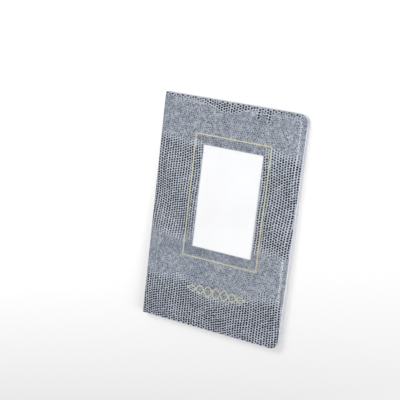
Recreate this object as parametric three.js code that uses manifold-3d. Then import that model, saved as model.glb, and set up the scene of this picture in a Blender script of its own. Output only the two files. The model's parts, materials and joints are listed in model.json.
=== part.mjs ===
// A soft-covered pocket photo album, closed and lying on its back cover.
// X runs from the spine to the fore-edge, Y from the foot to the head, and Z up to the front cover.
// The origin is under the middle of the album, on the face that it lies on.
import * as THREE from 'three';
import { mergeVertices } from 'three/addons/utils/BufferGeometryUtils.js';
import Module from 'manifold-3d';

const wasm = await Module();
wasm.setup();

// Driving dimensions, in millimetres.

// The two covers and the spine between them
const coverWidth = 113;
const coverHeight = 170;
const foreCornerRadius = 6;
const spineBendRadius = 1.2;
const skinGauge = 0.45;
const boardGauge = 0.6;
const liningGauge = 0.2;
const sealMargin = 3.5;
const hingeStrip = 5.5;
const shoulderRun = 0.7;
const panelCornerRadius = 3;
const boardClearance = 0.3;
const liningSetback = 1.5;

// Sheets that lie on each other keep this gap, so that no two of them share a face
const layerGap = 0.02;

// The window in the front cover, its clear film and the card behind it
const windowWidth = 47.4;
const windowHeight = 75.8;
const windowFromForeEdge = 29.1;
const windowFromHead = 33.3;
const windowCornerRadius = 0.6;
const filmGauge = 0.15;
const filmOverlap = 5;
const cardGauge = 0.36;
const cardOverlap = 3.5;
const insertClearance = 0.5;

// The gold foil: a thin line round the window, and a braid of two strands below it
const foilGauge = 0.05;
const stampDepth = 0.08;
const foilClearance = 0.05;
const foilLineWidth = 0.9;
const lineBorderSpine = 7.1;
const lineBorderFore = 5.3;
const lineBorderHead = 7.3;
const lineBorderFoot = 8.1;
const braidFromFoot = 29.3;
const braidLength = 47;
const braidHeight = 9;
const braidStrandWidth = 0.8;
const braidLoops = 7;
const braidEndShare = 0.35;

// The pocket pages: each leaf is two films welded on three sides, for one print of 102 by 152
const leafCount = 12;
const leafGauge = 0.2;
const leafGap = 0.12;
const leafForeInset = 0.8;
const leafEndInset = 4.5;
const leafCornerRadius = 2.5;
const leafStagger = 0.5;
const pocketGap = 0.06;
const pocketWeld = 1.5;
const bindingWidth = 4;
const stripGauge = 0.8;

// How finely round stretches are stepped
const arcSteps = 8;
const shoulderSteps = 4;
const strandStepsPerLoop = 8;

// Heights in one cover, measured from the outside of its padded panel, inwards is negative
const panelInner = -skinGauge;
const boardTop = panelInner - layerGap;
const boardBottom = boardTop - boardGauge;
const liningTop = boardBottom - layerGap;
const liningBottom = liningTop - liningGauge;
const borderInner = boardBottom;
const borderOuter = borderInner + skinGauge;
const cutOver = 1;

// Heights and widths in the whole album
const coverGauge = -liningBottom;
const blockHeight = leafCount * leafGauge + (leafCount - 1) * leafGap;
const albumThickness = 2 * (coverGauge + layerGap) + blockHeight;
const spineOuterX = -coverWidth / 2;
const foldX = spineOuterX + spineBendRadius;
const foreEdgeX = coverWidth / 2;
const backFoldZ = -borderOuter;
const frontFoldZ = albumThickness + borderOuter;
const panelSpineX = foldX + hingeStrip;
const windowBox = {
  left: foreEdgeX - windowFromForeEdge - windowWidth,
  right: foreEdgeX - windowFromForeEdge,
  foot: coverHeight / 2 - windowFromHead - windowHeight,
  head: coverHeight / 2 - windowFromHead,
};

// Helpers

function grown(box, by) {
  return { left: box.left - by, right: box.right + by, foot: box.foot - by, head: box.head + by };
}

// The points of one rounded corner, turning left; a corner with no radius is one point.
function cornerPoints(x, y, towardsX, towardsY, radius, startAngle) {
  if (radius === 0) return [new THREE.Vector2(x, y)];
  const points = [];
  for (let i = 0; i <= arcSteps; i++) {
    const angle = startAngle + (i / arcSteps) * (Math.PI / 2);
    const centreX = x + towardsX * radius;
    const centreY = y + towardsY * radius;
    points.push(new THREE.Vector2(centreX + radius * Math.cos(angle), centreY + radius * Math.sin(angle)));
  }
  return points;
}

// A box's outline, anticlockwise, with one radius at the spine side and one at the fore-edge side.
function outline(box, spineRadius, foreRadius) {
  return [
    ...cornerPoints(box.left, box.foot, 1, 1, spineRadius, Math.PI),
    ...cornerPoints(box.right, box.foot, -1, 1, foreRadius, 1.5 * Math.PI),
    ...cornerPoints(box.right, box.head, -1, -1, foreRadius, 0),
    ...cornerPoints(box.left, box.head, 1, -1, spineRadius, 0.5 * Math.PI),
  ];
}

// A flat sheet with the given outline and holes, from one height to another.
function sheet(points, holes, low, high) {
  const shape = new THREE.Shape(points);
  for (const hole of holes) shape.holes.push(new THREE.Path(hole));
  const geometry = new THREE.ExtrudeGeometry(shape, { depth: high - low, bevelEnabled: false });
  geometry.translate(0, 0, low);
  return geometry;
}

// A closed body through rings of equal point count, lowest first.
function loft(rings) {
  const count = rings[0].points.length;
  const positions = [];
  const indices = [];
  for (const ring of rings) {
    for (const point of ring.points) positions.push(point.x, point.y, ring.z);
  }
  for (let level = 0; level + 1 < rings.length; level++) {
    for (let i = 0; i < count; i++) {
      const here = level * count + i;
      const next = level * count + ((i + 1) % count);
      indices.push(here, next, next + count, here, next + count, here + count);
    }
  }
  const top = (rings.length - 1) * count;
  for (const [a, b, c] of THREE.ShapeUtils.triangulateShape(rings[0].points, [])) {
    indices.push(c, b, a, top + a, top + b, top + c);
  }
  const geometry = new THREE.BufferGeometry();
  geometry.setAttribute('position', new THREE.Float32BufferAttribute(positions, 3));
  geometry.setIndex(indices);
  return geometry;
}

function solid(geometry) {
  const bare = geometry.clone();
  bare.deleteAttribute('normal');
  bare.deleteAttribute('uv');
  const merged = mergeVertices(bare, 1e-5);
  return new wasm.Manifold(
    new wasm.Mesh({
      numProp: 3,
      vertProperties: new Float32Array(merged.attributes.position.array),
      triVerts: new Uint32Array(merged.index.array),
    }),
  );
}

function surface(body) {
  const mesh = body.getMesh();
  const geometry = new THREE.BufferGeometry();
  geometry.setAttribute('position', new THREE.Float32BufferAttribute(mesh.vertProperties, 3));
  geometry.setIndex(Array.from(mesh.triVerts));
  geometry.computeVertexNormals();
  return geometry;
}

// Materials

const skinMaterial = new THREE.MeshStandardMaterial({ color: 0x969ba6, roughness: 0.55, metalness: 0 });
const boardMaterial = new THREE.MeshStandardMaterial({ color: 0xb9b2a2, roughness: 0.95, metalness: 0 });
const liningMaterial = new THREE.MeshStandardMaterial({ color: 0xeceef2, roughness: 0.45, metalness: 0 });
const stripMaterial = new THREE.MeshStandardMaterial({ color: 0xe6e8ec, roughness: 0.5, metalness: 0 });
const leafMaterial = new THREE.MeshStandardMaterial({ color: 0xe4e8ee, roughness: 0.25, metalness: 0 });
const cardMaterial = new THREE.MeshStandardMaterial({ color: 0xf7f8fb, roughness: 0.8, metalness: 0 });
const filmMaterial = new THREE.MeshStandardMaterial({
  color: 0xf4f7fb,
  roughness: 0.08,
  metalness: 0,
  transparent: true,
  opacity: 0.2,
});
const foilMaterial = new THREE.MeshStandardMaterial({ color: 0xcdbf8a, roughness: 0.3, metalness: 1 });

// The cover skin: a grained vinyl sheet, formed over the board and welded flat round it

// The padded panel's outline, drawn in from the foot of its shoulder.
function panelOutline(inset) {
  const box = {
    left: panelSpineX + inset,
    right: foreEdgeX - sealMargin - inset,
    foot: -coverHeight / 2 + sealMargin + inset,
    head: coverHeight / 2 - sealMargin - inset,
  };
  return outline(box, panelCornerRadius, panelCornerRadius);
}

// The whole cover's outline: square where it meets the spine, round at the fore-edge.
function borderOutline(left) {
  const box = { left, right: foreEdgeX, foot: -coverHeight / 2, head: coverHeight / 2 };
  return outline(box, 0, foreCornerRadius);
}

// The shoulder rises as a quarter of an ellipse from the welded border to the panel.
function shoulderRings() {
  const rings = [{ points: panelOutline(0), z: borderInner }];
  for (let i = 0; i <= shoulderSteps; i++) {
    const angle = (i / shoulderSteps) * (Math.PI / 2);
    const inset = shoulderRun * (1 - Math.cos(angle));
    rings.push({ points: panelOutline(inset), z: borderOuter * (1 - Math.sin(angle)) });
  }
  return rings;
}

// The pocket that the board lies in, one skin's thickness inside the shoulder.
function boardPocket() {
  return loft([
    { points: panelOutline(skinGauge), z: borderInner - cutOver },
    { points: panelOutline(skinGauge), z: borderInner },
    { points: panelOutline(shoulderRun + skinGauge), z: panelInner },
  ]);
}

function coverSkin() {
  const border = solid(sheet(borderOutline(foldX + layerGap), [], borderInner, borderOuter));
  return border.add(solid(loft(shoulderRings()))).subtract(solid(boardPocket()));
}

function backSkin() {
  return surface(coverSkin());
}

// The front skin is the same sheet, die-cut for the window and stamped for the foil.
function frontSkin() {
  const opening = sheet(windowOutline(0, windowCornerRadius), [], panelInner - cutOver, cutOver);
  const lineStamp = foilLine(foilClearance, -stampDepth, cutOver);
  const braidStamp = foilBraid(foilClearance, -stampDepth, cutOver);
  return surface(coverSkin().subtract(solid(opening)).subtract(solid(lineStamp)).subtract(braidStamp));
}

// The boards and linings

function boardOutline() {
  return panelOutline(shoulderRun + skinGauge + boardClearance);
}

function backBoard() {
  return sheet(boardOutline(), [], boardBottom, boardTop);
}

// The front board is cut out for the film and the card, which lie in its thickness.
function frontBoard() {
  const cutOut = windowOutline(filmOverlap + insertClearance, windowCornerRadius);
  return sheet(boardOutline(), [cutOut], boardBottom, boardTop);
}

// The lining closes the pocket; its edge beside the spine is free, and the board goes in there.
function lining() {
  return sheet(borderOutline(panelSpineX - liningSetback), [], liningBottom, liningTop);
}

// The window's film and card

function windowOutline(by, radius) {
  return outline(grown(windowBox, by), radius, radius);
}

function windowFilm() {
  return sheet(windowOutline(filmOverlap, windowCornerRadius), [], boardTop - filmGauge, boardTop);
}

function insertCard() {
  const top = boardTop - filmGauge - layerGap;
  return sheet(windowOutline(cardOverlap, windowCornerRadius), [], top - cardGauge, top);
}

// The foil, pressed just below the skin's surface

function foilLine(clearance, low, high) {
  const middle = {
    left: windowBox.left - lineBorderSpine,
    right: windowBox.right + lineBorderFore,
    foot: windowBox.foot - lineBorderFoot,
    head: windowBox.head + lineBorderHead,
  };
  const half = foilLineWidth / 2 + clearance;
  return sheet(outline(grown(middle, half), 0, 0), [outline(grown(middle, -half), 0, 0)], low, high);
}

// The braid stands under the middle of the window.
const braidCentreX = (windowBox.left + windowBox.right) / 2;
const braidCentreY = -coverHeight / 2 + braidFromFoot;

// One strand waves round the braid's middle line and swings less towards its ends.
function strandPoint(along, side) {
  const share = Math.cos((along - 0.5) * Math.PI);
  const swing = (braidHeight - braidStrandWidth) / 2;
  const reach = swing * (braidEndShare + (1 - braidEndShare) * share);
  const x = braidCentreX + (along - 0.5) * braidLength;
  return new THREE.Vector2(x, braidCentreY + side * reach * Math.sin(along * braidLoops * Math.PI));
}

function braidStrand(side, clearance, low, high) {
  const steps = braidLoops * strandStepsPerLoop;
  const half = braidStrandWidth / 2 + clearance;
  const left = [];
  const right = [];
  for (let i = 0; i <= steps; i++) {
    const before = strandPoint((i - 0.5) / steps, side);
    const after = strandPoint((i + 0.5) / steps, side);
    const across = after.sub(before).normalize().multiplyScalar(half);
    const here = strandPoint(i / steps, side);
    right.push(new THREE.Vector2(here.x + across.y, here.y - across.x));
    left.push(new THREE.Vector2(here.x - across.y, here.y + across.x));
  }
  return sheet([...right, ...left.reverse()], [], low, high);
}

function foilBraid(clearance, low, high) {
  return solid(braidStrand(1, clearance, low, high)).add(solid(braidStrand(-1, clearance, low, high)));
}

const foilLow = -stampDepth + layerGap;
const foilHigh = foilLow + foilGauge;

// The spine: the same vinyl sheet, bent twice round the edges of the pages

function spineSkin() {
  const inside = spineBendRadius - skinGauge;
  const lowCentre = backFoldZ + spineBendRadius;
  const highCentre = frontFoldZ - spineBendRadius;
  const profile = new THREE.Shape();
  profile.moveTo(foldX, backFoldZ);
  profile.absarc(foldX, lowCentre, spineBendRadius, 1.5 * Math.PI, Math.PI, true);
  profile.absarc(foldX, highCentre, spineBendRadius, Math.PI, 0.5 * Math.PI, true);
  profile.lineTo(foldX, frontFoldZ - skinGauge);
  profile.absarc(foldX, highCentre, inside, 0.5 * Math.PI, Math.PI, false);
  profile.absarc(foldX, lowCentre, inside, Math.PI, 1.5 * Math.PI, false);
  const options = { depth: coverHeight, bevelEnabled: false, curveSegments: arcSteps };
  const geometry = new THREE.ExtrudeGeometry(profile, options);
  geometry.rotateX(Math.PI / 2);
  geometry.translate(0, coverHeight / 2, 0);
  return geometry;
}

// The binding strip joins the leaves' welded edge to the flat of the spine.
const stripX = spineOuterX + skinGauge + layerGap;
const bindingX = stripX + stripGauge + layerGap;

function bindingStrip() {
  const height = frontFoldZ - backFoldZ - 2 * spineBendRadius;
  const geometry = new THREE.BoxGeometry(stripGauge, leafLength(), height);
  geometry.translate(stripX + stripGauge / 2, 0, albumThickness / 2);
  return geometry;
}

// The pages: leaves welded together along the binding, each open at its head

const blockFoot = coverGauge + layerGap;

function leafLength() {
  return coverHeight - 2 * leafEndInset;
}

// The leaves' free edges don't line up quite, as in any hand-stacked block.
function leafBox(index) {
  const drift = leafStagger * Math.sin(index * index + index) ** 2;
  return {
    left: bindingX,
    right: foreEdgeX - leafForeInset - drift,
    foot: -leafLength() / 2,
    head: leafLength() / 2,
  };
}

function leafPocket(index, low) {
  const leaf = leafBox(index);
  const pocket = {
    left: leaf.left + bindingWidth + pocketWeld,
    right: leaf.right - pocketWeld,
    foot: leaf.foot + pocketWeld,
    head: leaf.head + cutOver,
  };
  const middle = low + leafGauge / 2;
  return sheet(outline(pocket, 0, 0), [], middle - pocketGap / 2, middle + pocketGap / 2);
}

function pageBlock() {
  const bindingBox = { ...leafBox(0), right: bindingX + bindingWidth };
  let block = solid(sheet(outline(bindingBox, 0, 0), [], blockFoot, blockFoot + blockHeight));
  for (let i = 0; i < leafCount; i++) {
    const low = blockFoot + i * (leafGauge + leafGap);
    const leaf = sheet(outline(leafBox(i), 0, leafCornerRadius), [], low, low + leafGauge);
    block = block.add(solid(leaf)).subtract(solid(leafPocket(i, low)));
  }
  return surface(block);
}

// The album

function piece(name, geometry, material) {
  const mesh = new THREE.Mesh(geometry, material);
  mesh.name = name;
  return mesh;
}

function frontCover() {
  const cover = new THREE.Group();
  cover.position.z = albumThickness;
  cover.add(
    piece('front_skin', frontSkin(), skinMaterial),
    piece('front_board', frontBoard(), boardMaterial),
    piece('front_lining', lining(), liningMaterial),
    piece('window_film', windowFilm(), filmMaterial),
    piece('insert_card', insertCard(), cardMaterial),
    piece('foil_line', foilLine(0, foilLow, foilHigh), foilMaterial),
    piece('foil_braid', surface(foilBraid(0, foilLow, foilHigh)), foilMaterial),
  );
  return cover;
}

// The back cover is turned over about the X axis, so that its outside faces down.
function backCover() {
  const cover = new THREE.Group();
  cover.rotation.x = Math.PI;
  cover.add(
    piece('back_skin', backSkin(), skinMaterial),
    piece('back_board', backBoard(), boardMaterial),
    piece('back_lining', lining(), liningMaterial),
  );
  return cover;
}

const album = new THREE.Group();
album.add(
  backCover(),
  piece('spine_skin', spineSkin(), skinMaterial),
  piece('binding_strip', bindingStrip(), stripMaterial),
  piece('page_block', pageBlock(), leafMaterial),
  frontCover(),
);

export default album;
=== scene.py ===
# %% [markdown]
# A pocket photo album in grained vinyl
#
# The album lies closed on its back cover. Its construction comes ready made, as named solids at their
# real size. This lesson dresses them: the grained skin, the gold foil, the window, the linings and the
# sleeve pages, and then the studio. Each step says what the piece is on the real album, how it could be
# made in Blender, and why it is made the way it is here.

# %% Load the album's solids
import json
import math

import bpy
import numpy as np
from mathutils import Matrix, Vector
from mathutils.geometry import delaunay_2d_cdt


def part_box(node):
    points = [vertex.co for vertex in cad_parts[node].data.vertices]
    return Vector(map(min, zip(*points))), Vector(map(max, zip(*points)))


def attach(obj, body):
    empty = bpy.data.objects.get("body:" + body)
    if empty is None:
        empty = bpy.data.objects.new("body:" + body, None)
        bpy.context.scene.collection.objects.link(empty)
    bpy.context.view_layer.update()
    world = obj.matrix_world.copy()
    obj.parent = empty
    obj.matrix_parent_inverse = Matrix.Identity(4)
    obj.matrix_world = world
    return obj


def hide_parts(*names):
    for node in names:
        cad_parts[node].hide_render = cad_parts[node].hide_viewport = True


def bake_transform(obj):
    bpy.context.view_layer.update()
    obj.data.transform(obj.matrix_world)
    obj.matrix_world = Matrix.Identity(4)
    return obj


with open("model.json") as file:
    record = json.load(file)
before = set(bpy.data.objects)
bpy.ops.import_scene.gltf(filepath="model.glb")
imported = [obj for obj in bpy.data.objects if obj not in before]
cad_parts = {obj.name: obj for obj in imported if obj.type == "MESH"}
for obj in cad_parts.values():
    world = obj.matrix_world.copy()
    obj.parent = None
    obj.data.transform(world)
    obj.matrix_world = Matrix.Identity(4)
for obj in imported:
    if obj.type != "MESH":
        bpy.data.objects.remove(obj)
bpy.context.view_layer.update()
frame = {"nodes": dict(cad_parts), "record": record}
print("solids:", sorted(frame["nodes"]))

# %% [markdown]
# Sizes
#
# All the work below is in millimetres, and a mesh is turned into metres when it is made. The sizes come
# from the solids themselves: the two folds are the album's hinges, the board tells where the padded panel
# is, and the film tells where the window is. So the dressing always fits what it is put on.

# %% Read the sizes from the solids
MM = 0.001


def box_mm(node):
    low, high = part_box(node)
    return np.array(low) / MM, np.array(high) / MM


def fold_mm(joint):
    found = [j for j in frame["record"]["behaviour"]["joints"] if j["name"] == joint]
    return np.array(found[0]["pos_m"]) / MM


SKIN_GAUGE = 0.45
PANEL_MARGIN = 1.45
SHOULDER_RUN = 0.7
PANEL_RADIUS = 3.0
FORE_RADIUS = 6.0
FILM_OVERLAP = 5.0

skin_high = box_mm("front_skin")[1]
board_low, board_high = box_mm("front_board")
film_low, film_high = box_mm("window_film")
fold = fold_mm("front_fold")
thickness = skin_high[2]
fore_x = skin_high[0]
half_height = skin_high[1]
fold_x = fold[0]
border_z = fold[2]
bend_radius = fold_x + fore_x
panel = np.array([board_low[:2] - PANEL_MARGIN, board_high[:2] + PANEL_MARGIN])
window = np.array([film_low[:2] + FILM_OVERLAP, film_high[:2] - FILM_OVERLAP])
print("album", round(2 * fore_x, 1), "by", round(2 * half_height, 1), "by", round(float(thickness), 2), "mm")
print("window", window.round(1).tolist())

# %% [markdown]
# Meshes from arrays
#
# Blender can build a mesh by hand-like steps or take it as arrays of corners and faces. The grain below has
# tens of thousands of corners, so arrays are the quick way. A helper makes the object, smooths it, keeps
# edges sharper than 40 degrees crisp, and stores any value that a material will read from the corners.

# %% A helper that makes a piece
SHARP = math.radians(40)


def make_piece(name, corners, faces, values=None, faces_slot=None):
    mesh = bpy.data.meshes.new(name)
    mesh.from_pydata((np.asarray(corners) * MM).tolist(), [], faces)
    for key, value in (values or {}).items():
        mesh.attributes.new(key, "FLOAT", "POINT").data.foreach_set("value", np.asarray(value, np.float32))
    mesh.polygons.foreach_set("use_smooth", [True] * len(mesh.polygons))
    if faces_slot is not None:
        mesh.polygons.foreach_set("material_index", faces_slot)
    mesh.update()
    mesh.set_sharp_from_angle(angle=SHARP)
    piece = bpy.data.objects.new(name, mesh)
    bpy.context.scene.collection.objects.link(piece)
    print(name, len(mesh.vertices), "corners", len(mesh.polygons), "faces")
    return piece


def flat_map(piece, low, high):
    """A flat map over the piece, seen from above, for the bake."""
    layer = piece.data.uv_layers.new(name="OFBake")
    corners = np.zeros(len(piece.data.vertices) * 3)
    piece.data.vertices.foreach_get("co", corners)
    corners = corners.reshape(-1, 3)[:, :2] / MM
    loops = np.zeros(len(piece.data.loops), int)
    piece.data.loops.foreach_get("vertex_index", loops)
    uv = (corners[loops] - low) / (np.array(high) - low)
    layer.data.foreach_set("uv", uv.astype(np.float32).ravel())


# %% [markdown]
# The form of the cover
#
# A cover is one sheet of vinyl. Over the stiffener board it is padded, round the board it is welded flat,
# and beside the spine it bends over a small radius. A modeller could extrude and bevel a plate. Here the
# sheet is a function instead: give it a place on the flat sheet and how deep below the outside face, and it
# returns a point in space. Then the grain, the inside face and the cut edges can all use the same form.

# %% The cover's form as a function
SQUARE = 0.01


def inside_by(x, y, low, high, radius):
    """How far a place lies inside a rectangle with round corners; outside it is negative."""
    centre = (np.array(low) + np.array(high)) / 2
    reach = (np.array(high) - np.array(low)) / 2 - radius
    qx = np.abs(x - centre[0]) - reach[0]
    qy = np.abs(y - centre[1]) - reach[1]
    outside = np.hypot(np.maximum(qx, 0), np.maximum(qy, 0))
    return radius - outside - np.minimum(np.maximum(qx, qy), 0)


TURN = 6.28


def waves(x, y, seed):
    """Slow, even waves between -1 and 1, different for each seed."""
    total = np.zeros(np.broadcast(x, y).shape)
    rng = np.random.default_rng(seed)
    for _ in range(6):
        angle, phase, length = rng.uniform(0, TURN), rng.uniform(0, TURN), rng.uniform(14, 48)
        total = total + np.sin((x * math.cos(angle) + y * math.sin(angle)) * TURN / length + phase)
    return np.clip(total / 4, -1, 1)


SPINE_ARC = bend_radius * math.pi / 2
sheet_left = fold_x - SPINE_ARC - (border_z - bend_radius - thickness / 2)
SLACK = 0.05
LIP_RUN = 1.4
LIP_DROP = 0.12


def cover_height(x, y, has_window):
    step = thickness - border_z
    rise = np.clip(inside_by(x, y, panel[0], panel[1], PANEL_RADIUS) / SHOULDER_RUN, 0, 1)
    height = border_z + step * np.sqrt(1 - (1 - rise) ** 2)
    height = height - SLACK * (0.5 + 0.5 * waves(x, y, 3)) * rise
    if has_window:
        from_edge = -inside_by(x, y, window[0], window[1], SQUARE)
        lip = np.clip(1 - from_edge / LIP_RUN, 0, 1)
        height = height - LIP_DROP * lip * lip
    return height


def place(u, y, depth, has_window):
    """The point on the sheet at u across and y along it, depth below its outside face."""
    u, y, depth = np.broadcast_arrays(np.asarray(u, float), y, depth)
    past = np.maximum(fold_x - u, 0)
    angle = np.minimum(past / bend_radius, math.pi / 2)
    straight = np.maximum(past - SPINE_ARC, 0)
    flat = u >= fold_x
    bend_x = fold_x - (bend_radius - depth) * np.sin(angle)
    bend_z = border_z - bend_radius + (bend_radius - depth) * np.cos(angle) - straight
    z = np.where(flat, cover_height(u, y, has_window) - depth, bend_z)
    return np.stack([np.where(flat, u, bend_x), y, z], -1)


print("sheet from", round(float(sheet_left), 2), "to", round(float(fore_x), 2), "across")

# %% [markdown]
# The grain's layout
#
# The vinyl is embossed like lizard skin: staggered columns of round pits in a raised net. There are patches
# of large pits beside the window, along the foot and in tongues at the head, and fine grain between them.
# A texture could fake this, but the pits are over a millimetre wide and catch the light, so each one is
# real here. First it has to be settled where the patches lie. A function answers that for any place, and
# its answer is a distance in millimetres, so that pits can also fade out towards a patch's edge. At the
# head it grows faster, because that row is too narrow to fade and its pits are dark right up to the edge.

# %% Where the large grain is
ABOVE_WINDOW, BELOW_WINDOW = 4.5, 3.5
FOOT_BAND, FOOT_DIP = 37.0, 9.5
HEAD_BAND, HEAD_CRISP = 2.6, 4.0
HEAD_TONGUES = ((6, -6, 15), (9, 27.5, 1.8), (7, 20, 1.2))


def large_grain(u, y, seed):
    """Positive where the grain is large, in millimetres from the patch's edge."""
    wobble = 2.6 * waves(u, y, seed) + 0.7 * np.sin(u * 0.55 + seed)
    beside = np.minimum(window[1][1] + ABOVE_WINDOW - y, y - window[0][1] - BELOW_WINDOW) + wobble
    beside = np.minimum(beside, np.maximum(window[0][0] - u, u - window[1][0]) * 3 + 1)
    foot_line = -half_height + FOOT_BAND - FOOT_DIP * np.exp(-(((u - 5) / 22) ** 4))
    foot = foot_line - y + wobble
    tongue = sum(reach * np.exp(-(((u - middle) / wide) ** 2)) for reach, middle, wide in HEAD_TONGUES)
    head_row = (y - (half_height - HEAD_BAND - tongue)) * HEAD_CRISP
    return np.maximum(np.maximum(beside, foot), head_row)


print("large grain beside the window:", bool(large_grain(window[0][0] - 8.0, 0.0, 11) > 0))

# %% [markdown]
# The pits' centres
#
# The large pits stand in a staggered lattice, bent a little as skin is, and fine ones fill every place that
# the large ones leave free. Blender could scatter points with Geometry Nodes, but then the gap between two
# kinds of pits is hard to hold. Here the places are plain numbers, so a short test keeps them apart.

# %% Large and fine centres
COLUMN_PITCH = 2.05
PIT_PITCH = 1.86
FINE_PITCH = 1.6
FINE_TURN = 0.5
PIT_TO_FINE = 1.3
PIT_EDGE_CLEAR = 0.3
FINE_EDGE_CLEAR = 0.7


def lattice(pitch_u, pitch_y, turn, seed, jitter):
    rng = np.random.default_rng(seed)
    reach = half_height + fore_x
    columns = np.arange(-int(reach / pitch_u), int(reach / pitch_u) + 1)
    rows = np.arange(-int(reach / pitch_y), int(reach / pitch_y) + 1)
    i, j = np.meshgrid(columns, rows)
    u = (i * pitch_u).ravel().astype(float)
    y = ((j + 0.5 * (i % 2)) * pitch_y).ravel()
    u, y = u * math.cos(turn) - y * math.sin(turn), u * math.sin(turn) + y * math.cos(turn)
    bent_u = u + 0.9 * np.sin(y / 19 + 0.6) + 0.5 * np.sin(y / 7.5 + u / 9)
    bent_y = y + 0.6 * np.sin(u / 8 + 1.2) + 0.4 * np.sin(u / 3.7 + y / 17)
    shake = rng.normal(0, jitter, (2, u.size))
    return bent_u + shake[0], bent_y + shake[1]


def sheet_clearance(u, y, has_window):
    """How far a place lies inside the sheet's edges."""
    low = (sheet_left, -half_height)
    clear = inside_by(u, y, low, (fore_x, half_height), SQUARE)
    fore_corner = np.where(u > 0, inside_by(u, y, low, (fore_x, half_height), FORE_RADIUS), clear)
    clear = np.minimum(clear, fore_corner)
    if has_window:
        clear = np.minimum(clear, -inside_by(u, y, window[0], window[1], SQUARE))
    return clear


def spaced(u, y, others_u, others_y, gap):
    """Which places keep the gap to all the others."""
    keep = np.ones(u.size, bool)
    for start in range(0, u.size, 500):
        part = slice(start, start + 500)
        far = np.hypot(u[part, None] - others_u[None], y[part, None] - others_y[None])
        keep[part] = far.min(1) > gap
    return keep


def grain_cells(has_window, seed):
    u, y = lattice(COLUMN_PITCH, PIT_PITCH, 0.0, seed, 0.06)
    big = (large_grain(u, y, seed) > 0) & (sheet_clearance(u, y, has_window) > PIT_EDGE_CLEAR)
    big &= u > sheet_left + COLUMN_PITCH / 2
    big_u, big_y = u[big], y[big]
    u, y = lattice(FINE_PITCH, FINE_PITCH * 1.08, FINE_TURN, seed + 1, 0.2)
    small = sheet_clearance(u, y, has_window) > FINE_EDGE_CLEAR
    small &= large_grain(u, y, seed) < 0.6
    u, y = u[small], y[small]
    keep = spaced(u, y, big_u, big_y, PIT_TO_FINE)
    print("grain:", big_u.size, "large pits and", int(keep.sum()), "fine ones")
    return (big_u, big_y), (u[keep], y[keep])


# %% [markdown]
# The lines that the surface keeps
#
# Three lines on the sheet have to come out clean: its outline, the cut window, and the shoulder where it
# steps up on to the panel. They are drawn here as closed rows of points on the flat sheet. The rows are
# closer together where the sheet bends at the fold, so that it is round there.

# %% Outline, window and shoulder
EDGE_STEP = 1.1
BEND_STEP = 0.3
BEND_REACH = 2.2
SHOULDER_STEP = 0.9


def arc(x, y, radius, start, steps=8):
    angle = start + np.arange(steps + 1) * (math.pi / 2) / steps
    return [(x + radius * math.cos(a), y + radius * math.sin(a)) for a in angle]


def stepped(points, step):
    """A closed outline with a corner at least every step."""
    out = []
    for a, b in zip(points, points[1:] + points[:1]):
        count = max(1, round(math.dist(a, b) / step))
        out += [(a[0] + (b[0] - a[0]) * k / count, a[1] + (b[1] - a[1]) * k / count) for k in range(count)]
    return out


def sheet_outline():
    r = FORE_RADIUS
    bend = np.arange(sheet_left, fold_x + BEND_REACH, BEND_STEP)
    points = [(x, -half_height) for x in bend]
    points += arc(fore_x - r, -half_height + r, r, -math.pi / 2)
    points += arc(fore_x - r, half_height - r, r, 0)
    points += [(x, half_height) for x in bend[::-1]]
    return stepped(points, EDGE_STEP)


def window_outline():
    (left, foot), (right, head) = window
    return stepped([(left, foot), (left, head), (right, head), (right, foot)], EDGE_STEP)


def panel_line(inset):
    r = PANEL_RADIUS - inset
    (left, foot), (right, head) = panel[0] + inset + r, panel[1] - inset - r
    points = arc(left, foot, r, math.pi) + arc(right, foot, r, -math.pi / 2)
    return stepped(points + arc(right, head, r, 0) + arc(left, head, r, math.pi / 2), SHOULDER_STEP)


def shoulder_lines():
    return np.array([p for inset in (0, SHOULDER_RUN / 2, SHOULDER_RUN) for p in panel_line(inset)])


print("outline of", len(sheet_outline()), "points, window of", len(window_outline()))

# %% [markdown]
# The grain as a surface
#
# Around each pit's centre goes a ring of corners on its floor and one on its rim, and between three pits a
# corner on the net. Every corner is a row of four numbers: its place across and along the sheet, how deep
# it lies, and a tone, from 0 in the ink of a pit to 1 on the pale net, which the vinyl material turns into
# colour. A displacement texture would need far more faces for the same crisp rims.

# %% Corners of the pits
PIT_DEPTH = 0.15
FINE_DEPTH = 0.06
RIM_WIDE, RIM_TALL = 0.88, 0.8
FLOOR_SHARE = 0.84
FINE_RIM = 0.62
NET_LIFT = 0.03
FADE_RUN, SMALLEST = 6.5, 0.55
FRAME_MARGIN, FRAME_INK = 6.5, 0.06
FLOOR_CORNERS, RIM_CORNERS, FINE_CORNERS = 8, 10, 5
FINE_TONE = 0.79


def ring(u, y, wide, tall, count, turn=0.0):
    angle = np.arange(count) * 2 * math.pi / count + turn
    wide, tall = (side if np.ndim(side) == 2 else np.reshape(side, (-1, 1)) for side in (wide, tall))
    return (u[:, None] + wide * np.cos(angle)).ravel(), (y[:, None] + tall * np.sin(angle)).ravel()


def corner_rows(u, y, depth, tone):
    return np.stack(np.broadcast_arrays(u, y, depth, tone), -1)


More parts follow.
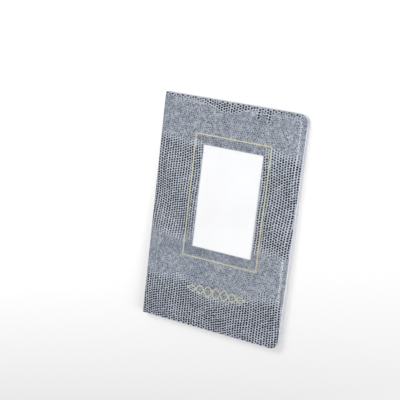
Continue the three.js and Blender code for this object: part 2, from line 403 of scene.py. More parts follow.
def large_pits(u, y, seed, rng):
    """Centre, floor and rim of each large pit; smaller and paler towards a patch's edge."""
    strength = np.clip(0.95 + 0.3 * waves(u * 1.6, y * 1.6, seed + 5), 0.6, 1)
    fade = np.clip(large_grain(u, y, seed) / FADE_RUN, 0.25, 1)
    grown = SMALLEST + (1 - SMALLEST) * fade
    wide, tall = RIM_WIDE * grown, RIM_TALL * grown
    strength = np.clip(strength * (0.45 + 0.55 * fade) * rng.uniform(0.75, 1.2, u.size), 0, 1)
    uneven = rng.uniform(0.86, 1.08, (u.size, FLOOR_CORNERS)) * FLOOR_SHARE
    floor = ring(u, y, wide[:, None] * uneven, tall[:, None] * uneven, FLOOR_CORNERS)
    floor_depth, floor_tone = PIT_DEPTH * strength * 0.9, 1 - strength * 0.97
    rim = ring(u, y, wide, tall, RIM_CORNERS, math.pi / 8)
    return np.concatenate([
        corner_rows(u, y, PIT_DEPTH * strength, 1 - strength),
        corner_rows(*floor, np.repeat(floor_depth, FLOOR_CORNERS), np.repeat(floor_tone, FLOOR_CORNERS)),
        corner_rows(*rim, NET_LIFT, np.repeat(0.66 + 0.24 * fade, RIM_CORNERS))])


def fine_pits(u, y, has_window, seed, rng):
    """Centre and rim of each fine pit; a little darker between the window and the foil line."""
    tone = FINE_TONE + 0.02 * waves(u, y, seed + 2) + rng.uniform(-0.1, 0.1, u.size)
    framed = inside_by(u, y, window[0] - FRAME_MARGIN, window[1] + FRAME_MARGIN, SQUARE) > 0
    tone = tone - FRAME_INK * (has_window & framed)
    dark = rng.uniform(0.35, 1.0, u.size)
    rim = ring(u, y, FINE_RIM, FINE_RIM * 0.9, FINE_CORNERS)
    return np.concatenate([
        corner_rows(u, y, FINE_DEPTH, tone - dark),
        corner_rows(*rim, NET_LIFT, np.repeat(tone, FINE_CORNERS))])


# %% [markdown]
# The net between the pits
#
# The net is what stands up between the pits, so its corners are found from them: the centres are joined to
# triangles, and each middle is a place on the net. The fold and the shoulder get more corners, because a
# sheet can only bend where it has corners. The net's tone also carries a painted highlight: along the
# shoulder it is painted pale, most of all at the fore-edge, and all the grain is a little darker towards the
# foot.

# %% Corners of the net, its painted highlight and its darker foot
NET_TONE = 0.78
NET_NEAREST, NET_FARTHEST, NET_EDGE_CLEAR = 0.66, 2.2, 0.3
BEND_COLUMN, BEND_ROW, BEND_CLEAR = 0.45, 0.8, 0.08
CUT_CLEAR = 0.14
# How strong the painted highlight along the shoulder is, and stronger at the fore-edge
SHOULDER_HIGHLIGHT, SHOULDER_HIGHLIGHT_AT_FORE_EDGE = 0.08, 0.2
RIDGE_WIDTH = 0.5
# How much darker the grain gets towards the foot, from where, and over what run
FOOT_DARKENING, FOOT_DARKENING_FROM, FOOT_DARKENING_RUN = 0.04, -50.0, 12.0


def triangulate(points, loops):
    """Triangles between the points, with each loop, given as start and count, kept as edges."""
    edges = []
    for start, count in loops:
        edges += [(start + k, start + (k + 1) % count) for k in range(count)]
    _, _, faces, origin, _, _ = delaunay_2d_cdt([Vector(p) for p in points], edges, [], 0, 1e-7)
    first = [ids[0] if ids else -1 for ids in origin]
    return np.array([[first[i] for i in face] for face in faces])


def net_corners(big, small, has_window):
    centres = np.concatenate([np.stack(big, -1), np.stack(small, -1)])
    web = triangulate(centres.tolist(), [])
    corner = centres[web].mean(1)
    reach = np.max(np.linalg.norm(centres[web] - corner[:, None], axis=2), 1)
    good = (reach < NET_FARTHEST) & (reach > NET_NEAREST)
    good &= sheet_clearance(*corner.T, has_window) > NET_EDGE_CLEAR
    good &= spaced(*corner.T, *big, RIM_WIDE)
    big_share = (web < big[0].size).mean(1)
    return corner_rows(*corner[good].T, 0.0, 0.74 + 0.26 * big_share[good] ** 2)


def bend_corners(big, small):
    """More corners on the net where the sheet bends and where it steps up on to the panel."""
    across, along = np.meshgrid(np.arange(fold_x - SPINE_ARC - 0.4, fold_x + 2.0, BEND_COLUMN),
                                np.arange(-half_height + 0.5, half_height, BEND_ROW))
    step = shoulder_lines()
    across, along = np.append(across, step[:, 0]), np.append(along, step[:, 1])
    free = spaced(across, along, *big, RIM_WIDE + BEND_CLEAR)
    free &= spaced(across, along, *small, FINE_RIM + BEND_CLEAR)
    return corner_rows(across[free], along[free], 0.0, NET_TONE)


def grain_points(has_window, seed):
    """All corners of the outside face, as rows of across, along, depth and tone."""
    big, small = grain_cells(has_window, seed)
    rng = np.random.default_rng(seed + 9)
    points = np.concatenate([large_pits(*big, seed, rng), fine_pits(*small, has_window, seed, rng),
                             net_corners(big, small, has_window), bend_corners(big, small)])
    u, y = points[:, 0], points[:, 1]
    ridge = (inside_by(u, y, panel[0], panel[1], PANEL_RADIUS) - SHOULDER_RUN) / RIDGE_WIDTH
    # Painted highlight: the net along the shoulder's ridge is made paler, most of all at the fore-edge.
    highlight = np.where(u > panel[1][0] - PANEL_RADIUS, SHOULDER_HIGHLIGHT_AT_FORE_EDGE, SHOULDER_HIGHLIGHT)
    points[:, 3] += highlight * np.exp(-(ridge ** 2)) * (points[:, 2] < FINE_DEPTH)
    # All the grain is made a little darker towards the foot.
    points[:, 3] -= FOOT_DARKENING * np.clip((FOOT_DARKENING_FROM - y) / FOOT_DARKENING_RUN, 0, 1)
    return points[sheet_clearance(u, y, has_window) > CUT_CLEAR]


# %% [markdown]
# The sheet with both its faces
#
# The vinyl has a gauge, which shows at the cut window and along the edges. A Solidify modifier could give
# it one, but it would copy every pit to the inside, where the real sheet is smooth. So the inside face gets
# its own, coarser corners, and a wall joins the two faces along each outline. The walls are cut edges, so
# they show the plain backing, as the inside does. The same steps make both covers: the back one is made
# like the front, without a window, and turned over.

# %% Both faces and the walls between them
INNER_CLEAR, INNER_STEP_CLEAR = 0.28, 0.6
INNER_COLUMN, INNER_ROW = 2.4, 1.7


def inner_corners(has_window):
    columns = np.concatenate([np.arange(sheet_left + 0.3, fold_x + BEND_REACH, BEND_STEP),
                              np.arange(fold_x + 3.5, fore_x, INNER_COLUMN)])
    lines = np.arange(-half_height + 0.9, half_height - 0.4, INNER_ROW)
    grid = np.stack(np.meshgrid(columns, lines), -1).reshape(-1, 2)
    from_step = inside_by(*grid.T, panel[0], panel[1], PANEL_RADIUS) - SHOULDER_RUN / 2
    free = (sheet_clearance(*grid.T, has_window) > INNER_CLEAR) & (np.abs(from_step) > INNER_STEP_CLEAR)
    return np.concatenate([grid[free], shoulder_lines()])


def outside_window(points, faces):
    middle = points[faces][:, :, :2].mean(1)
    return faces[inside_by(*middle.T, window[0], window[1], SQUARE) < 0]


def wall_faces(spans, under):
    """Faces between each outline on the outside face and the same one on the inside face."""
    walls = []
    for start, count in spans:
        for k in range(count):
            a, b = start + k, start + (k + 1) % count
            walls.append((b, a, a + under, b + under))
    return walls


def grained_sheet(name, has_window, seed, turned_over):
    loops = [sheet_outline()] + ([window_outline()] if has_window else [])
    rim = np.array([p for loop in loops for p in loop])
    spans = [(sum(len(k) for k in loops[:i]), len(loop)) for i, loop in enumerate(loops)]
    outer = np.concatenate([corner_rows(*rim.T, NET_LIFT, 0.8), grain_points(has_window, seed)])
    inner = np.concatenate([rim, inner_corners(has_window)])
    outer_faces = triangulate(outer[:, :2].tolist(), spans)
    inner_faces = triangulate(inner.tolist(), spans)[:, ::-1]
    if has_window:
        outer_faces = outside_window(outer, outer_faces)
        inner_faces = outside_window(inner, inner_faces)
    walls = wall_faces(spans, len(outer))
    corners = np.concatenate([place(outer[:, 0], outer[:, 1], outer[:, 2], has_window),
                              place(inner[:, 0], inner[:, 1], SKIN_GAUGE, has_window)])
    faces = outer_faces.tolist() + (inner_faces + len(outer)).tolist() + walls
    if turned_over:
        corners[:, 2] = thickness - corners[:, 2]
        faces = [tuple(reversed(f)) for f in faces]
    tone = np.concatenate([outer[:, 3], np.full(len(inner), 0.7)])
    slots = [0] * len(outer_faces) + [1] * (len(inner_faces) + len(walls))
    piece = make_piece(name, corners, faces, {"tone": tone}, slots)
    flat_map(piece, (-fore_x, -half_height), (fore_x, half_height))
    return piece


# %% [markdown]
# Materials
#
# Every finish here is a small graph of nodes. A helper starts each one with a Principled shader, and
# colours are written as the hex values seen in daylight, then turned into the linear light that shaders
# work in. Values that are the same all over stay on the shader itself.

# %% Helpers for materials
def linear(code):
    parts = [int(code[i:i + 2], 16) / 255 for i in (1, 3, 5)]
    return [c / 12.92 if c <= 0.04045 else ((c + 0.055) / 1.055) ** 2.4 for c in parts] + [1.0]


class Finish:
    """A material with its node graph at hand."""

    def __init__(self, name, roughness=0.5, metallic=0.0, colour="#808080"):
        self.material = bpy.data.materials.new(name)
        self.material.use_nodes = True
        self.tree = self.material.node_tree
        self.shader = self.tree.nodes["Principled BSDF"]
        self.shader.inputs["Roughness"].default_value = roughness
        self.shader.inputs["Metallic"].default_value = metallic
        self.shader.inputs["Base Color"].default_value = linear(colour)
        self.place = self.node("ShaderNodeTexCoord").outputs["Object"]

    def node(self, kind, **settings):
        made = self.tree.nodes.new(kind)
        for key, value in settings.items():
            setattr(made, key, value)
        return made

    def join(self, source, target):
        self.tree.links.new(source, target)

    def noise(self, size_mm, detail):
        """Noise between 0 and 1 with features of about this size."""
        mapping = self.node("ShaderNodeMapping")
        mapping.inputs["Scale"].default_value = [1 / (size_mm * MM)] * 3
        texture = self.node("ShaderNodeTexNoise")
        texture.inputs["Scale"].default_value = 1.0
        texture.inputs["Detail"].default_value = detail
        self.join(self.place, mapping.inputs["Vector"])
        self.join(mapping.outputs["Vector"], texture.inputs["Vector"])
        return texture.outputs["Fac"]

    def ramp(self, source, stops):
        made = self.node("ShaderNodeValToRGB")
        elements = made.color_ramp.elements
        while len(elements) < len(stops):
            elements.new(0.5)
        for element, (position, colour) in zip(elements, stops):
            element.position = position
            element.color = linear(colour)
        self.join(source, made.inputs["Fac"])
        return made.outputs["Color"]

    def spread(self, source, low, high, from_low=0.3, from_high=0.7):
        made = self.node("ShaderNodeMapRange")
        made.inputs["From Min"].default_value = from_low
        made.inputs["From Max"].default_value = from_high
        made.inputs["To Min"].default_value = low
        made.inputs["To Max"].default_value = high
        self.join(source, made.inputs["Value"])
        return made.outputs["Result"]

    def mix(self, share, first, second, blend="MIX"):
        made = self.node("ShaderNodeMix", data_type="RGBA", blend_type=blend)
        sockets = {s.identifier: s for s in made.inputs}
        for key, value in (("Factor_Float", share), ("A_Color", first), ("B_Color", second)):
            if isinstance(value, bpy.types.NodeSocket):
                self.join(value, sockets[key])
            elif isinstance(value, str):
                sockets[key].default_value = linear(value)
            else:
                sockets[key].default_value = value
        return [s for s in made.outputs if s.identifier == "Result_Color"][0]

    def bump(self, source, distance_mm, strength=1.0):
        made = self.node("ShaderNodeBump")
        made.inputs["Distance"].default_value = distance_mm * MM
        made.inputs["Strength"].default_value = strength
        self.join(source, made.inputs["Height"])
        before = self.shader.inputs["Normal"].links
        if before:
            self.join(before[0].from_socket, made.inputs["Normal"])
        self.join(made.outputs["Normal"], self.shader.inputs["Normal"])

    def set(self, **sockets):
        for key, value in sockets.items():
            target = self.shader.inputs[key.replace("_", " ")]
            if isinstance(value, bpy.types.NodeSocket):
                self.join(value, target)
            else:
                target.default_value = value


print("a mid grey in linear light:", round(linear("#808080")[0], 3))

# %% [markdown]
# Two-tone vinyl
#
# The vinyl is pale blue-grey, and a darker navy ink was wiped into the pits. An image would have to be
# painted and laid out flat. Instead the tone on the corners says how much ink there is, and a ramp turns it
# into colour. Noise shifts the ink a little, because a wiped finish is never even, the ink shines less than
# the net, and a fine bump gives the satin its tooth.

# %% The vinyl's outside and its backing
def vinyl_finish():
    finish = Finish("grained_vinyl", roughness=0.45)
    tone = finish.node("ShaderNodeAttribute", attribute_name="tone").outputs["Fac"]
    drift = finish.spread(finish.noise(9, 4), -0.025, 0.025)
    speck = finish.spread(finish.noise(0.85, 2), -0.11, 0.11)
    added = finish.node("ShaderNodeMath", operation="ADD")
    finish.join(tone, added.inputs[0])
    finish.join(drift, added.inputs[1])
    total = finish.node("ShaderNodeMath", operation="ADD")
    finish.join(added.outputs["Value"], total.inputs[0])
    finish.join(speck, total.inputs[1])
    colour = finish.ramp(total.outputs["Value"], [
        (0.0, "#080c17"), (0.25, "#2a303f"), (0.5, "#5a616d"), (0.75, "#8c939c"), (1.0, "#cdd2d8")])
    tint = finish.ramp(finish.noise(22, 2), [(0.35, "#f6f8ff"), (0.65, "#fcfbfd")])
    finish.set(Base_Color=finish.mix(1.0, colour, tint, "MULTIPLY"))
    finish.set(Roughness=finish.spread(total.outputs["Value"], 0.6, 0.5, 0.2, 0.9))
    finish.set(Specular_IOR_Level=finish.spread(total.outputs["Value"], 0.15, 0.5, 0.2, 0.9))
    finish.bump(finish.noise(0.16, 4), 0.03, 0.5)
    return finish.material


def backing_finish():
    finish = Finish("vinyl_backing", roughness=0.7)
    finish.set(Base_Color=finish.ramp(finish.noise(0.8, 5), [(0.3, "#d6d9de"), (0.7, "#e4e6ea")]))
    finish.bump(finish.noise(0.4, 4), 0.04, 0.6)
    return finish.material


vinyl = vinyl_finish()
backing = backing_finish()
print("materials:", vinyl.name, "and", backing.name)

# %% [markdown]
# The two halves of the skin
#
# The real skin is one sheet from the front cover round the spine to the back cover. Each half here runs
# from a cover to the middle line of the spine, where the two meet edge to edge.


def hang_skin(piece, cover_body, fold_z, *nodes):
    piece.data.materials.append(vinyl)
    piece.data.materials.append(backing)
    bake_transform(piece)
    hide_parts(*nodes)


front_half = grained_sheet("grained_skin_front", True, 11, False)
hang_skin(front_half, "front_cover", border_z, "front_skin", "spine_skin")
back_half = grained_sheet("grained_skin_back", False, 29, True)
hang_skin(back_half, "back_cover", thickness - border_z, "back_skin")

# %% [markdown]
# The foil
#
# Hot foil is a film of metal pressed on to the vinyl by a warm die. It bridges the pits and its edges break
# up a little on the grain. A flat colour mask would lose the metal's shine, so the line and the braid are
# thin ribbons of their own, laid on the net, with edges that waver by a few hundredths of a millimetre.

# %% Ribbons of foil
FOIL_GAUGE = 0.03
FOIL_STEP = 0.45
FOIL_SIDES = (-1, -0.4, 0.4, 1)
EDGE_DIP = 0.012
RAGGED = 0.05


def ribbon(name, paths, width, seed):
    """Closed thin ribbons along paths of (x, y) points, all in one piece."""
    rng = np.random.default_rng(seed)
    corners, faces = [], []
    for path, closed in paths:
        path = np.array(path)
        if closed:
            tangent = np.roll(path, -1, 0) - np.roll(path, 1, 0)
        else:
            tangent = np.gradient(path, axis=0)
        tangent /= np.linalg.norm(tangent, axis=1)[:, None]
        across = np.stack([-tangent[:, 1], tangent[:, 0]], -1)
        lines = []
        for side in FOIL_SIDES:
            edge = abs(side) == 1
            reach = side * width / 2 + (rng.normal(0, RAGGED, len(path)) if edge else 0)
            spot = path + across * np.reshape(reach, (-1, 1))
            top = cover_height(spot[:, 0], spot[:, 1], True) - (EDGE_DIP if edge else 0.0)
            lines.append(np.c_[spot, top])
        for side in (1, -1):
            low = lines[3 if side == 1 else 0].copy()
            low[:, 2] -= FOIL_GAUGE
            lines.append(low)
        base = sum(len(c) for c in corners)
        count, wide = len(path), len(lines)
        corners.append(np.stack(lines, 1).reshape(-1, 3))
        for k in range(count if closed else count - 1):
            here, after = base + k * wide, base + ((k + 1) % count) * wide
            for w in range(wide):
                beside = (w + 1) % wide
                faces.append((here + w, after + w, after + beside, here + beside))
        if not closed:
            faces.append(tuple(base + w for w in range(wide)))
            faces.append(tuple(base + (count - 1) * wide + w for w in reversed(range(wide))))
    return make_piece(name, np.concatenate(corners), faces)


# %% [markdown]
# The line and the braid
#
# The line is one closed ribbon with square corners, and the braid is two strands that cross each other, one
# the mirror of the other. A curve with a bevel would be round, and foil is flat, so both use the ribbon. The
# gold is pale, with a few warmer places, as thin foil has where the die pressed harder.

# %% Make the foil
line_low, line_high = box_mm("foil_line")
braid_low, braid_high = box_mm("foil_braid")
LINE_WIDTH = 0.9
STRAND_WIDTH = 0.8
STRAND_END = 0.3
BRAID_LOOPS = 7
BRAID_END_SHARE = 0.35


def line_path():
    (left, foot), (right, head) = line_low[:2] + LINE_WIDTH / 2, line_high[:2] - LINE_WIDTH / 2
    return stepped([(left, foot), (right, foot), (right, head), (left, head)], FOIL_STEP)


def strand_path(side):
    centre = (braid_low + braid_high) / 2
    length = braid_high[0] - braid_low[0]
    swing = (braid_high[1] - braid_low[1] - STRAND_WIDTH) / 2
    along = np.linspace(0, 1, round(length / FOIL_STEP * 1.4))
    reach = swing * (BRAID_END_SHARE + (1 - BRAID_END_SHARE) * np.cos((along - 0.5) * math.pi))
    x = centre[0] + (along - 0.5) * (length - 2 * STRAND_END)
    return np.stack([x, centre[1] + side * reach * np.sin(along * BRAID_LOOPS * math.pi)], -1)


def foil_finish():
    finish = Finish("gold_foil", roughness=0.34, metallic=1.0)
    warm = finish.noise(26, 1)
    pale = finish.ramp(finish.noise(1.4, 3), [(0.3, "#e4e4bc"), (0.7, "#f4f4dc")])
    orange = finish.ramp(finish.noise(1.4, 3), [(0.3, "#e8cc9c"), (0.7, "#f4e6c8")])
    finish.set(Base_Color=finish.mix(finish.spread(warm, 0, 0.8, 0.56, 0.68), pale, orange))
    finish.set(Roughness=finish.spread(finish.noise(0.6, 3), 0.28, 0.48))
    finish.bump(finish.noise(0.5, 3), 0.05, 0.5)
    return finish.material


foil = foil_finish()
foil_line = ribbon("foil_border", [(line_path(), True)], LINE_WIDTH, 5)
foil_braid = ribbon("foil_twist", [(strand_path(1), False), (strand_path(-1), False)], STRAND_WIDTH, 6)
for piece, node in ((foil_line, "foil_line"), (foil_braid, "foil_braid")):
    piece.data.materials.append(foil)
    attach(piece, "front_cover")
    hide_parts(node)

# %% [markdown]
# Card, film, boards and strip
#
# These keep their own solids, because a flat card or board is just that shape. They only need a finish:
# the card is matt white, the film is clear with a gloss, and the boards are pulp. Each finish is its own
# small function, so that its colour, gloss and bump stand together.

# %% Finishes for the flat inner pieces
def card_finish():
    finish = Finish("white_card", roughness=0.75)
    finish.set(Base_Color=finish.ramp(finish.noise(30, 3), [(0.35, "#f3f3f4"), (0.65, "#f8f8f9")]))
    finish.bump(finish.noise(0.35, 5), 0.015, 0.4)
    return finish.material


def film_finish():
    finish = Finish("window_film", roughness=0.06, colour="#f8f9fa")
    finish.set(Alpha=0.12)
    finish.bump(finish.noise(24, 2), 0.25, 0.4)
    return finish.material


def board_finish():
    finish = Finish("stiffener_board", roughness=0.95)
    finish.set(Base_Color=finish.ramp(finish.noise(0.7, 6), [(0.3, "#a39c8c"), (0.7, "#c0b9a9")]))
    finish.bump(finish.noise(0.5, 6), 0.08, 0.7)
    return finish.material


def white_vinyl_finish(name):
    finish = Finish(name, roughness=0.42)
    plain = finish.ramp(finish.noise(40, 2), [(0.35, "#dfe2e7"), (0.65, "#e6e8ed")])
    weld = finish.node("ShaderNodeAttribute", attribute_name="weld").outputs["Fac"]
    finish.set(Base_Color=finish.mix(weld, plain, "#bcc1ca"))
    finish.bump(finish.noise(0.3, 4), 0.03, 0.45)
    finish.bump(finish.noise(12, 2), 0.3, 0.3)
    return finish.material


def repaint(node, material):
    slots = frame["nodes"][node].material_slots
    for slot in slots:
        slot.material = material
    if not slots:
        frame["nodes"][node].data.materials.append(material)


board_stuff = board_finish()
lining_stuff = white_vinyl_finish("white_lining")
repaint("insert_card", card_finish())
repaint("window_film", film_finish())
repaint("front_board", board_stuff)
repaint("back_board", board_stuff)
repaint("binding_strip", white_vinyl_finish("binding_vinyl"))
print("repainted: insert_card, window_film, front_board, back_board, binding_strip")

# %% [markdown]
# The linings
#
# Inside each cover is a white vinyl sheet, welded to the skin along three edges. The weld is a pressed band
# with a fine raised line on both sides. The sheet is made ring by ring from its outline inwards, so the
# band follows the round corners, and the edge beside the spine stays free, as the board goes in there.

# %% Linings with a pressed weld
LINING_INSETS = (0, 0.7, 1.1, 1.4, 1.8, 2.5, 2.9, 3.2, 3.6, 6.0)
WELD_DEPTH = 0.07
WELD_MIDDLE, WELD_HALF = 2.15, 1.1
FREE_EDGE_SHARE = 0.02


def weld_depth(inset):
    """How deep the weld is pressed, this far in from the edge."""
    return WELD_DEPTH * np.clip(1 - ((inset - WELD_MIDDLE) / WELD_HALF) ** 4, 0, 1)


def lining_sheet(name, node, inside_up):
    low, high = box_mm(node)
    rings = []
    for inset in LINING_INSETS:
        r = max(FORE_RADIUS - inset, 1.5)
        left, right = low[0] + inset * FREE_EDGE_SHARE, high[0] - inset
        foot, head = low[1] + inset, high[1] - inset
        points = [(left, foot)] + arc(right - r, foot + r, r, -math.pi / 2)
        points += arc(right - r, head - r, r, 0) + [(left, head)]
        rings.append(np.c_[points, np.full(len(points), inset)])
    count = len(rings[0])
    flat = np.concatenate(rings)
    face, back = (high[2], low[2]) if inside_up else (low[2], high[2])
    sink = (-1 if inside_up else 1) * weld_depth(flat[:, 2])
    outer = np.c_[flat[:, :2], face + sink]
    under = np.c_[rings[0][:, :2], np.full(count, back)]
    faces = []
    for level in range(len(rings) - 1):
        for k in range(count):
            a, b = level * count + k, level * count + (k + 1) % count
            faces.append((a, b, b + count, a + count))
    faces.append(tuple(range((len(rings) - 1) * count, len(rings) * count)))
    base = len(outer)
    for k in range(count):
        faces.append((k, base + k, base + (k + 1) % count, (k + 1) % count))
    faces.append(tuple(base + k for k in reversed(range(count))))
    if not inside_up:
        faces = [tuple(reversed(f)) for f in faces]
    pressed = np.concatenate([weld_depth(flat[:, 2]) / WELD_DEPTH, np.zeros(count)])
    piece = make_piece(name, np.concatenate([outer, under]), faces, {"weld": pressed})
    piece.data.materials.append(lining_stuff)
    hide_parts(node)
    return piece


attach(lining_sheet("lining_front", "front_lining", False), "front_cover")
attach(lining_sheet("lining_back", "back_lining", True), "back_cover")

# %% [markdown]
# The sleeve pages
#
# Each leaf is two clear films welded together round three sides, so that a print can slide in at the head.
# Stacked, they look milky. One solid block would look like soap, so each leaf is its own thin sheet with a
# little wave. The two films of a leaf lie too close together to be told apart here, so one closed sheet
# stands for both: the weld is pressed into it on three sides only, and the pocket's mouth isn't cut.

# %% The leaves
LEAF_COUNT = 12
LEAF_GAUGE = 0.16
LEAF_STAGGER = 0.5
BOUND_WIDTH = 4.0
POCKET_WELD = 1.5
WELD_LINE = 0.6
WELD_MARKS = (-0.8, -0.4, 0.0, 0.4, 0.8)
WELD_KEEPS_OFF = 1.2
LEAF_COLUMN, LEAF_ROW = 6.0, 5.0
LEAF_CORNER = 2.5
WAVE = 0.045


def axis_steps(low, high, lines, step):
    """Even steps with extra ones round each line, so that a pressed weld there has its own edges."""
    marks = list(np.linspace(low, high, max(2, round((high - low) / step) + 1)))
    for line in lines:
        marks = [m for m in marks if abs(m - line) > WELD_KEEPS_OFF]
        marks += [line + offset for offset in WELD_MARKS]
    marks = sorted(m for m in marks if low <= m <= high)
    return np.array(([low] if marks[0] > low else []) + marks + ([high] if marks[-1] < high else []))


def leaf_mesh(index, low, high):
    pitch = (high[2] - low[2] - LEAF_GAUGE) / (LEAF_COUNT - 1)
    fore = high[0] - LEAF_STAGGER * math.sin(index * index + index) ** 2
    weld_x = (low[0] + BOUND_WIDTH, fore - POCKET_WELD)
    weld_y = low[1] + POCKET_WELD
    xs = axis_steps(low[0], fore, weld_x, LEAF_COLUMN)
    ys = axis_steps(low[1], high[1], (weld_y,), LEAF_ROW)
    x, y = np.meshgrid(xs, ys)
    round_corner = inside_by(x, y, (low[0] - 20, low[1]), (fore, high[1]), LEAF_CORNER)
    x = x + np.minimum(round_corner, 0) * 0.7 * np.sign(x)
    y = y + np.minimum(round_corner, 0) * 0.7 * np.sign(y)
    free = np.clip((x - low[0] - BOUND_WIDTH) / 30, 0, 1)
    wave = WAVE * free * (waves(x, y, 41) * 0.4 + waves(x, y, 60 + index) * 0.5)
    weld = np.zeros_like(x)
    for line in weld_x:
        weld = np.maximum(weld, np.clip(1 - np.abs(x - line) / WELD_LINE, 0, 1) * (y >= weld_y - 0.1))
    across = (x >= weld_x[0] - 0.1) & (x <= weld_x[1] + 0.1)
    weld = np.maximum(weld, np.clip(1 - np.abs(y - weld_y) / WELD_LINE, 0, 1) * across)
    middle = low[2] + LEAF_GAUGE / 2 + index * pitch + wave
    half = LEAF_GAUGE / 2 * (1 - 0.6 * weld)
    return x, y, np.clip(middle - half, low[2], high[2]), np.clip(middle + half, low[2], high[2]), weld


def leaf_faces(rows, columns, base):
    count = rows * columns
    faces = []
    for r in range(rows - 1):
        for c in range(columns - 1):
            a = base + r * columns + c
            faces.append((a + count, a + 1 + count, a + 1 + columns + count, a + columns + count))
            faces.append((a, a + columns, a + 1 + columns, a + 1))
    edge = list(range(columns)) + [r * columns + columns - 1 for r in range(1, rows)]
    edge += [(rows - 1) * columns + c for c in reversed(range(columns - 1))]
    edge += [r * columns for r in reversed(range(1, rows - 1))]
    for a, b in zip(edge, edge[1:] + edge[:1]):
        faces.append((base + a, base + b, base + b + count, base + a + count))
    return faces


def sleeve_block():
    low, high = box_mm("page_block")
    corners, faces, welds, base = [], [], [], 0
    for index in range(LEAF_COUNT):
        x, y, under, over, weld = leaf_mesh(index, low, high)
        for z in (under, over):
            corners.append(np.stack([x, y, z], -1).reshape(-1, 3))
            welds.append(weld.ravel())
        faces += leaf_faces(x.shape[0], x.shape[1], base)
        base += 2 * x.size
    return make_piece("sleeve_leaves", np.concatenate(corners), faces, {"weld": np.concatenate(welds)})


def sleeve_finish():
    finish = Finish("sleeve_film", roughness=0.2)
    plain = finish.ramp(finish.noise(45, 2), [(0.3, "#eef1f6"), (0.7, "#f7f8fb")])
    weld = finish.node("ShaderNodeAttribute", attribute_name="weld").outputs["Fac"]
    finish.set(Base_Color=finish.mix(weld, plain, "#c3c9d2"))
    finish.set(Alpha=0.9)
    finish.bump(finish.noise(30, 2), 0.3, 0.3)
    return finish.material


leaves = sleeve_block()
leaves.data.materials.append(sleeve_finish())
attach(leaves, "pages")
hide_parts("page_block")

# %% [markdown]
# The camera
#
# The album is seen from above, at the angle that the photograph has: the camera is a long way to the
# fore-edge side and a little towards the head. A camera can be turned by hand until it looks right. Here
# its place, aim, roll and lens are numbers that make the cover's corners fall where they do in the picture.

# %% The camera
FOCAL_PIXELS = 974.7
PICTURE_PIXELS = 400
SENSOR = 36.0
CAMERA_FROM_COVER = Vector((291.38, 160.67, 621.33))
AIM_ON_COVER = Vector((-17.99, 10.90, 0.0))
CAMERA_ROLL = math.radians(-6.61)


def set_camera():
    up_to_cover = Vector((0, 0, thickness))
    spot = (CAMERA_FROM_COVER + up_to_cover) * MM
    forward = ((AIM_ON_COVER + up_to_cover) * MM - spot).normalized()
    right = forward.cross(Vector((0, 1, 0))).normalized()
    down = forward.cross(right)
    c, s = math.cos(CAMERA_ROLL), math.sin(CAMERA_ROLL)
    right, down = c * right + s * down, -s * right + c * down
    data = bpy.data.cameras.new("camera")
    data.sensor_width = SENSOR
    data.lens = FOCAL_PIXELS / PICTURE_PIXELS * SENSOR
    data.clip_start = 0.01
    camera = bpy.data.objects.new("camera", data)
    turn = Matrix((right, -down, -forward)).transposed().to_4x4()
    camera.matrix_world = Matrix.Translation(spot) @ turn
    bpy.context.scene.collection.objects.link(camera)
    bpy.context.scene.camera = camera
    print("lens", round(data.lens, 1), "mm")


set_camera()

# %% [markdown]
# The floor
#
# The album lies on a white sweep. A floor lit up to pure white would need so much light that the album
# would bleach. So the floor is a pale grey that takes the soft shadow, and to the camera it also glows a
# little, more towards the head and far away, until it is white. Gloss and glass see that glow as well, but
# it sheds no light on the album.

# %% The floor and its white
WHITENS_TOWARDS = (-0.48, 1.0, 0.0)
NEAR_GLOW = (0.06, 0.5, -0.154, 0.149)
FAR_GLOW = (0.0, 0.65, 0.15, 0.8)
FLOOR_REACH = 2500.0
FLOOR_LEVEL = -0.02


def floor_finish():
    finish = Finish("white_sweep", roughness=0.9, colour="#dedddd")
    tree = finish.tree
    rays = finish.node("ShaderNodeLightPath")
    shadow_catch = finish.node("ShaderNodeMixShader")
    white = finish.node("ShaderNodeEmission")
    white.inputs["Color"].default_value = (1, 1, 1, 1)
    along = finish.node("ShaderNodeVectorMath", operation="DOT_PRODUCT")
    finish.join(finish.place, along.inputs[0])
    along.inputs[1].default_value = WHITENS_TOWARDS
    glow = finish.spread(along.outputs["Value"], *NEAR_GLOW)
    away = finish.node("ShaderNodeVectorMath", operation="LENGTH")
    finish.join(finish.place, away.inputs[0])
    far_glow = finish.spread(away.outputs["Value"], *FAR_GLOW)
    strongest = finish.node("ShaderNodeMath", operation="MAXIMUM")
    finish.join(glow, strongest.inputs[0])
    finish.join(far_glow, strongest.inputs[1])
    finish.join(strongest.outputs["Value"], white.inputs["Strength"])
    added = finish.node("ShaderNodeAddShader")
    finish.join(finish.shader.outputs["BSDF"], added.inputs[0])
    finish.join(white.outputs["Emission"], added.inputs[1])
    seen = rays.outputs["Is Camera Ray"]
    for kind in ("Is Glossy Ray", "Is Transmission Ray"):
        either = finish.node("ShaderNodeMath", operation="MAXIMUM")
        finish.join(seen, either.inputs[0])
        finish.join(rays.outputs[kind], either.inputs[1])
        seen = either.outputs["Value"]
    finish.join(seen, shadow_catch.inputs["Fac"])
    finish.join(finish.shader.outputs["BSDF"], shadow_catch.inputs[1])
    finish.join(added.outputs["Shader"], shadow_catch.inputs[2])
    finish.join(shadow_catch.outputs["Shader"], tree.nodes["Material Output"].inputs["Surface"])
    return finish.material


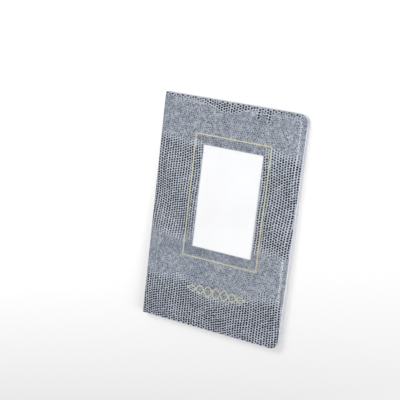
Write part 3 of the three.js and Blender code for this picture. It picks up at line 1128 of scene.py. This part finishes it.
def make_floor():
    signs = ((-1, -1), (1, -1), (1, 1), (-1, 1))
    corners = [(x * FLOOR_REACH, y * FLOOR_REACH, FLOOR_LEVEL) for x, y in signs]
    floor = make_piece("white_floor", corners, [(0, 1, 2, 3)])
    floor.data.materials.append(floor_finish())


make_floor()

# %% [markdown]
# The light
#
# Two soft lamps light the album. The key lamp stands towards the head and the spine, and models the grain.
# The side lamp stands low beyond the fore-edge, and lights the page edges. The world fills in evenly and
# is white to the camera, so that colours come out about as they were written.

# %% The lamps and the world
LAMP_SIZE = 0.5


def area_lamp(name, spot, power):
    data = bpy.data.lights.new(name, "AREA")
    data.size = LAMP_SIZE
    data.energy = power
    lamp = bpy.data.objects.new(name, data)
    lamp.location = spot
    aim = Vector((0, 0, 0)) - Vector(spot)
    lamp.rotation_euler = aim.to_track_quat("-Z", "Y").to_euler()
    bpy.context.scene.collection.objects.link(lamp)
    print(name, "lamp of", power, "W")


def set_light():
    world = bpy.data.worlds.new("studio")
    world.use_nodes = True
    nodes, links = world.node_tree.nodes, world.node_tree.links
    background = nodes["Background"]
    background.inputs["Color"].default_value = (1.0, 1.0, 1.0, 1)
    background.inputs["Strength"].default_value = 0.6
    behind = nodes.new("ShaderNodeBackground")
    behind.inputs["Color"].default_value = (1.0, 1.0, 1.0, 1)
    chosen = nodes.new("ShaderNodeMixShader")
    links.new(nodes.new("ShaderNodeLightPath").outputs["Is Camera Ray"], chosen.inputs["Fac"])
    links.new(background.outputs["Background"], chosen.inputs[1])
    links.new(behind.outputs["Background"], chosen.inputs[2])
    links.new(chosen.outputs["Shader"], nodes["World Output"].inputs["Surface"])
    bpy.context.scene.world = world
    area_lamp("key", (-0.45, 0.6, 0.85), 4.8)
    area_lamp("side", (0.95, -0.05, 0.5), 5.8)
    bpy.context.scene.view_settings.view_transform = "Standard"


set_light()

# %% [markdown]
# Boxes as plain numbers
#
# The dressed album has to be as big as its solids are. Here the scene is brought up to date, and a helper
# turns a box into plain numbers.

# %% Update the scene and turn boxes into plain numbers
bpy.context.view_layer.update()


def plain(box):
    return [[float(c) for c in corner] for corner in box]
